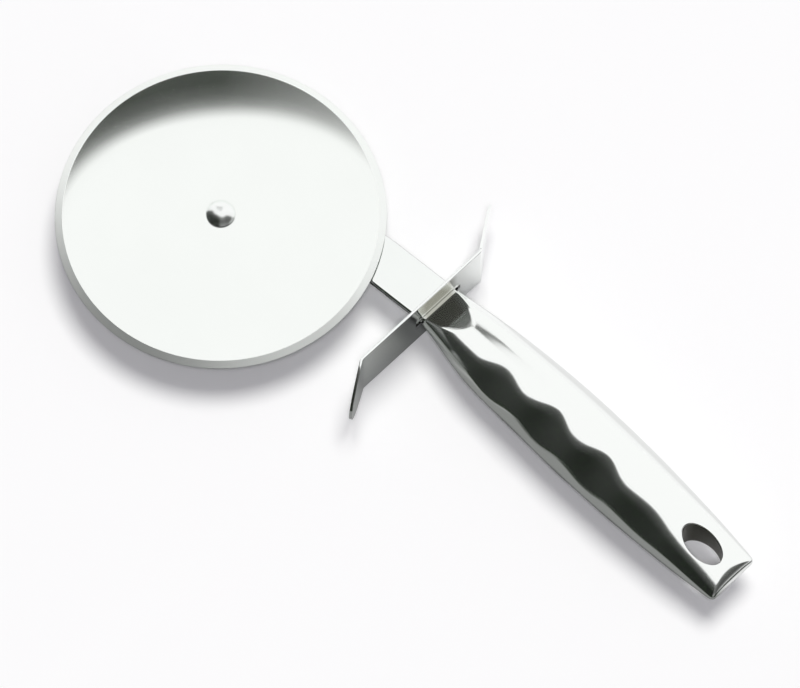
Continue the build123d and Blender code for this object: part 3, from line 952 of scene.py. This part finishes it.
class PIZZA_CUTTER_OT_guard(bpy.types.Operator):
    """Make the finger guard: a bent strip of sheet with narrowing ends and a slot for the arm."""

    bl_idname = "pizza_cutter.guard"
    bl_label = "Finger guard"
    bl_options = {"REGISTER", "UNDO"}

    def pointed_end(self, leg, bend, half, guard):
        """One end of the guard, as distances from its tip and half heights: a cubic Bezier curve up to the bend."""
        start = guard.bend_radius * math.tan(bend / 2)
        reach = guard.end_reach * (leg - start)
        share = np.linspace(1, 0, 41)
        along = bezier(start, start + reach, leg, leg, share)
        slope = reach * math.tan(guard.end_slope)
        return leg - along, bezier(half, half - slope, half / 2, guard.end_flat / 2, share)

    def execute(self, context):
        """A strip's section carried along a bent path; its half height follows a Bezier curve at each end."""
        guard = context.scene.pizza_cutter.guard
        guard_x = NOSE_X - guard.thickness / 2
        start = np.array(
            [
                guard.finger_leg * math.sin(guard.finger_bend),
                -guard.finger_flat - guard.finger_leg * math.cos(guard.finger_bend),
            ]
        )
        heading = math.pi / 2 + guard.finger_bend
        legs = [guard.finger_leg, guard.finger_flat + guard.thumb_flat, guard.thumb_leg]
        place, ends = bent_path(start, heading, legs, [-guard.finger_bend, guard.thumb_bend], guard.bend_radius)
        half = (GUARD_HIGH.z - GUARD_LOW.z) / 2
        end_round = half - guard.end_flat / 2
        arm_at = guard.finger_leg + guard.finger_flat - 2 * guard.bend_radius * math.tan(guard.finger_bend / 2)
        arm_at += guard.bend_radius * guard.finger_bend
        slot = [arm_at + guard.slot_finger_end, arm_at + guard.slot_thumb_end]
        total = ends[-1]
        finger_end, finger_tall = self.pointed_end(guard.finger_leg, guard.finger_bend, half, guard)
        thumb_end, thumb_tall = self.pointed_end(guard.thumb_leg, guard.thumb_bend, half, guard)
        along = np.concatenate(
            [
                finger_end,
                np.linspace(finger_end[-1], slot[0], 60)[1:],
                np.linspace(slot[0], slot[1], 21)[1:],
                np.linspace(slot[1], total - thumb_end[-1], 60)[1:],
                total - thumb_end[::-1][1:],
            ]
        )
        tall = np.full(len(along), half)
        tall[: len(finger_tall)] = finger_tall
        tall[-len(thumb_tall) :] = thumb_tall[::-1]
        spot, _, left = place(along)
        inset, level = rounded_bar(guard.thickness, guard.edge_round)
        inner = np.array([0.15, 0.4, 0.7, 1.0]) * (half - guard.slot_half_height)
        level = np.concatenate([level, np.full(len(inner), guard.thickness / 2)])
        scale = ((tall - guard.end_flat / 2) / end_round)[:, None]
        least_edge = 0.05
        edge_scale = np.minimum(1, scale + least_edge)
        reach = tall[:, None] - np.concatenate([inset * edge_scale, inner * scale], axis=1)
        count = reach.shape[1]
        reach, level = whole_section(np.clip(reach, LEAST_REACH, None), level)
        points = swept_points(spot, left, level, reach, guard_x)
        index = np.arange(reach.size).reshape(reach.shape)
        strips = grid_quads(closed(index, 1)).reshape(len(along) - 1, 4 * count, 4)
        first, last = [np.argmin(np.abs(along - end)) for end in slot]
        kept = np.ones(strips.shape[:2], dtype=bool)
        kept[first:last, [count - 1, 3 * count - 1]] = False
        corners = index[:, [count - 1, count, 3 * count - 1, 3 * count]]
        front_low, front_high, back_high, back_low = corners[first : last + 1].T
        walls = [
            grid_quads(np.stack([front_low, back_low])),
            grid_quads(np.stack([back_high, front_high])),
            corners[first : first + 1, ::-1],
            corners[last : last + 1],
        ]
        faces = [strips[kept], *end_caps(index), *walls]
        piece = make_closed_piece("guard_strip", points, faces)
        finish_piece(piece, FRAME_BODY, "guard_steel", "finger_guard")
        return {"FINISHED"}


class PIZZA_CUTTER_OT_handle(bpy.types.Operator):
    """Make the two pressed halves of the handle, and the sleeve of its hanging hole."""

    bl_idname = "pizza_cutter.handle"
    bl_label = "Handle"
    bl_options = {"REGISTER", "UNDO"}

    def execute(self, context):
        """The lower half is the upper one mirrored in the seam; the sleeve is a wall carried round an oval."""
        handle = context.scene.pizza_cutter.handle
        points, quads, ring = handle_half(handle)
        mirrored = points * [1, 1, -1] + [0, 0, 2 * MID_HEIGHT]
        upper = make_mesh("handle_upper_skin", points, [quads, ring])
        lower = make_mesh("handle_lower_skin", mirrored, [quads[:, ::-1], ring[:, ::-1]])
        for skin, node in ((upper, "handle_upper_shell"), (lower, "handle_lower_shell")):
            wall = skin.modifiers.new("wall", "SOLIDIFY")
            wall.thickness = handle.wall
            wall.offset = -1.0
            sharpen_rim(skin)
            finish_piece(skin, FRAME_BODY, "mirror_steel", node)

        turn = np.linspace(0, 2 * np.pi, 240, endpoint=False)[:, None]
        growth = np.array([[handle.sleeve_wall, 0.00012, 0.00005, 0.00002]])
        drop = np.array([[0.0, 0.0, 0.00002, 0.0001]])
        lip_depth = 0.9 * handle.lip_round
        along = handle.hole_distance + (handle.hole_length / 2 + growth) * np.cos(turn)
        side = (handle.hole_width / 2 + growth) * np.sin(turn)
        height = skin_height(along, turn_at_side(along, side, handle), handle) - lip_depth - drop
        wall_share = np.linspace(1, -1, 17)[1:-1]
        along, side = [
            np.concatenate([rim, np.repeat(rim[:, -1:], len(wall_share), axis=1), rim[:, ::-1]], axis=1)
            for rim in (along, side)
        ]
        height = np.concatenate([height, height[:, -1:] * wall_share, -height[:, ::-1]], axis=1)
        points = from_nose(along, side, height).reshape(-1, 3)
        index = closed(closed(np.arange(height.size).reshape(height.shape), 0), 1)
        sleeve = make_closed_piece("hang_hole_lining", points, [grid_quads(index)])
        # The lining's finish carries painted shade in its dark colour
        finish_piece(sleeve, FRAME_BODY, "shaded_hole_steel", "hang_hole_sleeve")
        return {"FINISHED"}


class PIZZA_CUTTER_OT_finishes(bpy.types.Operator):
    """Make the steel finishes, and give the washers and the filler theirs."""

    bl_idname = "pizza_cutter.finishes"
    bl_label = "Finishes"
    bl_options = {"REGISTER", "UNDO"}

    def execute(self, context):
        """The solid nodes that stay in view keep their meshes and only change material."""
        colours = context.scene.pizza_cutter.colours
        fine, long = 6000.0, 150.0
        along_x, along_y, along_z = (long, fine, fine), (fine, long, fine), (fine, fine, long)
        for name, colour, smooth, rough, hairline, stretch in (
            ("mirror_steel", colours.mirror_steel, 0.015, 0.035, 0.002, along_x),
            ("rivet_steel", colours.mirror_steel, 0.24, 0.30, 0.02, (fine, fine, fine)),
            ("guard_steel", colours.mirror_steel, 0.04, 0.08, 0.012, along_y),
            ("shaded_hole_steel", colours.shaded_hole_steel, 0.30, 0.40, 0.10, along_z),
            ("bar_steel", colours.bar_steel, 0.06, 0.11, 0.08, (200.0, fine, fine)),
        ):
            polished_finish(name, colour, smooth, rough, hairline, stretch)
        # Paints shade into the guard's slot and a reflection onto its face over the arm
        paint_slot_shade_and_reflection(context.scene.pizza_cutter.guard)
        cement_finish("handle_cement", colours.cement)
        for node, finish in (
            ("head_washer", "bar_steel"),
            ("spacer_washer", "bar_steel"),
            ("backing_washer", "bar_steel"),
            ("handle_filler", "handle_cement"),
        ):
            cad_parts[node].data.materials.clear()
            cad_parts[node].data.materials.append(bpy.data.materials[finish])
        return {"FINISHED"}


# The side cloth: the elevation of its top and its thickness at azimuths counted leftwards from the far side of the
# table, and its opacity at angles below its top
SIDE_CLOTH_TOP = (
    (58, 60, 68, 75, 82, 92, 106, 140, 180, 207, 225, 240, 252, 262, 268),
    (33, 36, 44, 49, 56, 66, 71, 75, 73, 69, 65, 63, 61, 57, 40),
)
SIDE_CLOTH_THICKNESS = (
    (60, 115, 145, 168, 177, 215, 228, 268),
    (0.955, 0.972, 0.985, 0.975, 0.88, 0.88, 0.92, 0.92),
)
SIDE_CLOTH_HEM = ((0, 1.5, 8, 25, 90), (0.0, 0.87, 0.95, 1.0, 1.0))

# The blade card: its strength at headings round the axle, and its opacity at distances out from its inner edge
BLADE_CARD_STRENGTH = ((-86, -70, 0, 25, 45, 70, 82), (0.91, 0.99, 1.0, 0.88, 0.75, 0.52, 0.45))
BLADE_CARD_HEM = ((-0.003, -0.001, 0.0013, 0.0045, 0.009), (0.0, 0.35, 0.78, 0.94, 1.0))

# Levels of the table top and of the dark sheet of painted shade on it, a hair under the cutter
TABLE_LEVEL, PAINTED_SHADE_LEVEL = -0.0001, -0.00005

# The facet card: its opacity at distances from the nose
FACET_CARD_HEM = ((0.05, 0.12), (0.965, 0.3))


class PIZZA_CUTTER_OT_stage(bpy.types.Operator):
    """Make the table, the white tent with its lamps and dark cloths, and the camera."""

    bl_idname = "pizza_cutter.stage"
    bl_label = "Stage"
    bl_options = {"REGISTER", "UNDO"}

    def directions(self, studio):
        """The directions away from the camera and to its right, level with the table."""
        camera = studio.camera_azimuth
        away = np.array([-math.sin(camera), math.cos(camera), 0.0])
        return away, np.array([math.cos(camera), math.sin(camera), 0.0])

    def make_cloth(self, name, points, opacity):
        """A dark cloth through a grid of points, which only the polish mirrors, with an opacity for each point."""
        index = np.arange(opacity.size).reshape(opacity.shape)
        cloth = make_mesh(name, points.reshape(-1, 3), [grid_quads(index)])
        fade = cloth.data.attributes.new("opacity", "FLOAT", "POINT")
        fade.data.foreach_set("value", opacity.astype(np.float32).ravel())
        cloth.data.materials.append(bpy.data.materials["dark_cloth"])
        cloth.visible_camera = cloth.visible_diffuse = cloth.visible_shadow = False

    def hang_cloth(self, name, azimuth, low, high, opacity, studio):
        """A dark cloth on a ball round the cutter.

        The azimuth runs along it from the far side of the table, and is positive to the camera's right. At each
        azimuth the cloth spans two elevations, and its opacity is an array over the same grid."""
        away, right = self.directions(studio)
        share = np.linspace(0, 1, opacity.shape[1])
        elevation = np.radians(low[:, None] + (high - low)[:, None] * share)
        heading = np.radians(azimuth)[:, None]
        level = np.cos(heading)[..., None] * away + np.sin(heading)[..., None] * right
        points = np.cos(elevation)[..., None] * level + np.sin(elevation)[..., None] * np.array([0.0, 0.0, 1.0])
        self.make_cloth(name, points * studio.screen_distance, opacity)

    def hold_card(self, name, spot, normal, opacity, camera_place, distance):
        """A dark card that shows on a flat face as a patch of darkness.

        Each point of the patch is carried from the face, by a distance, along the camera's line of sight mirrored in
        the face."""
        sight = spot - np.array(camera_place)
        sight = sight / np.linalg.norm(sight, axis=-1, keepdims=True)
        mirrored = sight - 2 * (sight @ np.array(normal))[..., None] * np.array(normal)
        self.make_cloth(name, spot + mirrored * distance, opacity)

    def hang_side_cloth(self, studio):
        """The large cloth from the left of the cutter round behind the camera to its right.

        Its opacity is its thickness times its hem, with two mild thinnings low down, behind the camera and past the
        butt, which are products of soft steps."""
        leftwards = np.linspace(58, 268, 211)
        foot = -1.0
        top = np.interp(leftwards, *SIDE_CLOTH_TOP)
        below = (top[:, None] - foot) * (1 - np.linspace(0, 1, 60))
        height = top[:, None] - below
        opacity = np.interp(leftwards, *SIDE_CLOTH_THICKNESS)[:, None] * np.interp(below, *SIDE_CLOTH_HEM)
        behind_camera = (step(leftwards, 168, 8) * step(-leftwards, -220, 8))[:, None]
        past_butt = step(leftwards, 226, 10)[:, None]
        opacity = opacity * (1 - 0.14 * behind_camera * step(-height, -34, 10))
        opacity = opacity * (1 - 0.4 * past_butt * step(-height, -24, 22))
        self.hang_cloth("side_cloth", -leftwards, np.full(len(top), foot), top, opacity, studio)

    def hang_thin_cloth(self, studio):
        """The narrow cloth across the far side of the table, which sinks towards the right."""
        count = 30
        azimuth = np.linspace(-11, 9, count)
        low, high = np.linspace(47, 39, count), np.linspace(53, 42, count)
        self.hang_cloth("thin_cloth", azimuth, low, high, np.ones((count, 6)), studio)

    def blade_patch(self, studio):
        """A crescent on the blade's face: it lies between half an ellipse and the bevel, and fades at the ellipse."""
        away, right = self.directions(studio)
        depth, tilt, breadth, hem, rim = 0.0348, 0.003, 0.0512, 0.003, 0.051
        turn = np.radians(np.linspace(-90, 90, 181))
        inner_away, inner_right = depth * np.cos(turn) + tilt * np.sin(turn), breadth * np.sin(turn)
        heading, inner = np.arctan2(inner_right, inner_away)[:, None], np.hypot(inner_away, inner_right)[:, None]
        radius = inner - hem + (rim + hem - inner) * np.linspace(0, 1, 33)
        strength = np.interp(np.degrees(heading), *BLADE_CARD_STRENGTH)
        opacity = strength * np.interp(radius - inner, *BLADE_CARD_HEM)
        spot = (radius * np.cos(heading))[..., None] * away + (radius * np.sin(heading))[..., None] * right
        return spot + np.array([AXLE[0], AXLE[1], WHEEL_HIGH.z]), opacity

    def facet_patch(self, handle):
        """A rectangle in the plane of the nose facet and well past its edges, which fades where the crown starts."""
        along, across = np.meshgrid(np.linspace(-0.03, 0.12, 16), np.linspace(-0.04, 0.04, 9), indexing="ij")
        height = handle.facet_seat + along * math.tan(handle.facet_angle)
        return from_nose(along, across, height), np.interp(along, *FACET_CARD_HEM)

    def hang_lamp(self, name, towards, strength, colour, spread):
        """A far lamp in a direction, which lights the table but doesn't show in the polish."""
        lamp = bpy.data.lights.new(name, "SUN")
        lamp.energy = strength
        lamp.color = colour
        lamp.angle = spread
        piece = bpy.data.objects.new(name, lamp)
        piece.rotation_euler = towards.to_track_quat("Z", "Y").to_euler()
        piece.visible_glossy = False
        bpy.context.scene.collection.objects.link(piece)

    def lay_painted_table_shade(self, length):
        """Painted shade: a dark sheet on the table, which only the polish mirrors, standing in for the table's shade
        in its reflections.

        Its opacity is a sum of soft steps and bells of the place, measured along the handle and across it: most on
        the finger side, all of it far off there and past the butt, and a little on the thumb side."""
        along = np.concatenate([[-4.0, -1.0, -0.4, -0.2], np.linspace(-0.12, 0.28, 101), [0.4, 1.0, 4.0]])
        across = np.concatenate([[-4.0, -1.0, -0.4, -0.25], np.linspace(-0.2, 0.12, 81), [0.2, 0.5, 1.0, 4.0]])
        along, across = along[:, None], across[None, :]

        def bell(middle_along, middle_across, reach=0.012):
            """A bell of the distance from a place beside the nose."""
            return np.exp(-((along - middle_along) ** 2 + (across - middle_across) ** 2) / reach**2)

        finger_side = step(-across, -0.004, 0.008)
        far = step(-across, 0.09, 0.06)
        past_butt = step(along, length + 0.016, 0.02) * step(-across, -0.08, 0.04)
        by_guard = step(-along, -0.013, 0.006) * step(along, -0.004, 0.004) * step(-across, 0.004, 0.006)
        by_thumb = step(-across, -0.11, 0.06) * step(along, 0.004, 0.01)
        finger = (0.74 + 0.24 * far) * (1 - by_guard) + (0.6 + 0.17 * bell(0.005, -0.010)) * by_guard
        thumb = 0.18 * by_thumb + 0.47 * bell(0.006, 0.010)
        opacity = finger * finger_side + thumb * (1 - finger_side)
        opacity = opacity + (0.97 - opacity) * past_butt
        x, y = np.broadcast_arrays(NOSE_X + along, HANDLE_Y + across)
        # Painted shade: this dark sheet darkens the table wherever the polish mirrors it
        self.make_cloth("painted_table_shade", np.stack([x, y, np.full(x.shape, PAINTED_SHADE_LEVEL)], axis=-1), opacity)

    def lay_table(self, colour):
        """The table top: a flat square grid."""
        half_side = 4.0
        line = np.linspace(-half_side, half_side, 9)
        x, y = np.meshgrid(line, line, indexing="ij")
        points = np.stack([x, y, np.full_like(x, TABLE_LEVEL)], axis=-1).reshape(-1, 3)
        table = make_mesh("table", points, [grid_quads(np.arange(x.size).reshape(x.shape))])
        table_finish("pale_table", colour)
        table.data.materials.append(bpy.data.materials["pale_table"])

    def pitch_tent(self, scene, colour, strength):
        """The white tent: even white where the camera or the polish sees it, and a dimmer light on matt surfaces."""
        world = bpy.data.worlds.new("white_tent")
        world.use_nodes = True
        tree = world.node_tree
        path = add_node(tree, "LightPath", (-700, 0)).outputs
        seen = math_node(tree, (-500, 0), "ADD", path["Is Camera Ray"], path["Is Glossy Ray"])
        mirrored = math_node(tree, (-300, 0), "ADD", seen, path["Is Transmission Ray"])
        light = mixed(tree, (-100, 0), mirrored, scaled(colour, strength), (1.0, 1.0, 1.0, 1.0))
        set_node(tree, tree.nodes["Background"], Color=light)
        scene.world = world

    def stand_camera(self, scene, place, back, focal_length):
        """The camera, which looks from its place against the direction back to it."""
        lens = bpy.data.cameras.new("camera")
        lens.sensor_width = 36.0
        lens.lens = focal_length
        lens.clip_end = 100.0
        camera = bpy.data.objects.new("camera", lens)
        camera.location = place
        camera.rotation_euler = (-back).to_track_quat("-Z", "Y").to_euler()
        scene.collection.objects.link(camera)
        scene.camera = camera

    def execute(self, context):
        """The table is a flat grid, a cloth is a band on a ball, and the tent is the even white of the world."""
        scene = context.scene
        settings = scene.pizza_cutter
        studio, colours = settings.studio, settings.colours
        around, up = studio.camera_azimuth, studio.camera_elevation
        back = Vector((math.sin(around) * math.cos(up), -math.cos(around) * math.cos(up), math.sin(up)))
        camera_place = Vector(studio.look_at) + back * studio.camera_distance

        self.lay_table(colours.floor)
        cloth_finish("dark_cloth", colours.dark_screen, "opacity")
        self.hang_side_cloth(studio)
        self.hang_thin_cloth(studio)
        # Painted shade on the table, seen only in the polish
        self.lay_painted_table_shade(settings.handle.length)
        spot, opacity = self.blade_patch(studio)
        self.hold_card("blade_card", spot, (0.0, 0.0, 1.0), opacity, camera_place, studio.blade_card_distance)
        spot, opacity = self.facet_patch(settings.handle)
        slope = settings.handle.facet_angle
        facing = (-math.sin(slope), 0.0, math.cos(slope))
        self.hold_card("facet_card", spot, facing, opacity, camera_place, studio.facet_card_distance)

        self.pitch_tent(scene, colours.tent, studio.tent)
        away, right = self.directions(studio)
        level = math.cos(studio.sun_azimuth) * away + math.sin(studio.sun_azimuth) * right
        towards = math.cos(studio.sun_elevation) * level + np.array([0.0, 0.0, math.sin(studio.sun_elevation)])
        self.hang_lamp("sun", Vector(towards), studio.sun, colours.sun, studio.sun_spread)
        self.hang_lamp("fill", back, studio.fill, colours.fill, studio.fill_spread)
        self.stand_camera(scene, camera_place, back, studio.focal_length)
        scene.view_settings.view_transform = "Standard"
        return {"FINISHED"}


class PIZZA_CUTTER_PT_sidebar(bpy.types.Panel):
    """The pizza cutter's pieces, in the sidebar."""

    bl_idname = "PIZZA_CUTTER_PT_sidebar"
    bl_label = "Pizza cutter"
    bl_space_type = "VIEW_3D"
    bl_region_type = "UI"
    bl_category = "Pizza cutter"

    def draw(self, context):
        """One button for each operator, in the order in which they run."""
        for operator in OPERATORS:
            self.layout.operator(operator.bl_idname)


OPERATORS = (
    PIZZA_CUTTER_OT_finishes,
    PIZZA_CUTTER_OT_blade,
    PIZZA_CUTTER_OT_rivet,
    PIZZA_CUTTER_OT_arm,
    PIZZA_CUTTER_OT_guard,
    PIZZA_CUTTER_OT_handle,
    PIZZA_CUTTER_OT_stage,
)
CLASSES = (
    BladeSizes,
    RivetSizes,
    ArmSizes,
    GuardSizes,
    HandleSizes,
    FinishColours,
    StudioSizes,
    CutterSettings,
    *OPERATORS,
    PIZZA_CUTTER_PT_sidebar,
)


def register():
    """Registers the classes and hangs the settings on the scene."""
    for cls in CLASSES:
        bpy.utils.register_class(cls)
    bpy.types.Scene.pizza_cutter = PointerProperty(type=CutterSettings)


def unregister():
    """Takes the settings and the classes away again."""
    del bpy.types.Scene.pizza_cutter
    for cls in reversed(CLASSES):
        bpy.utils.unregister_class(cls)


def main():
    """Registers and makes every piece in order."""
    register()
    bpy.ops.pizza_cutter.finishes()
    bpy.ops.pizza_cutter.blade()
    bpy.ops.pizza_cutter.rivet()
    bpy.ops.pizza_cutter.arm()
    bpy.ops.pizza_cutter.guard()
    bpy.ops.pizza_cutter.handle()
    bpy.ops.pizza_cutter.stage()


if __name__ == "__main__":
    main()
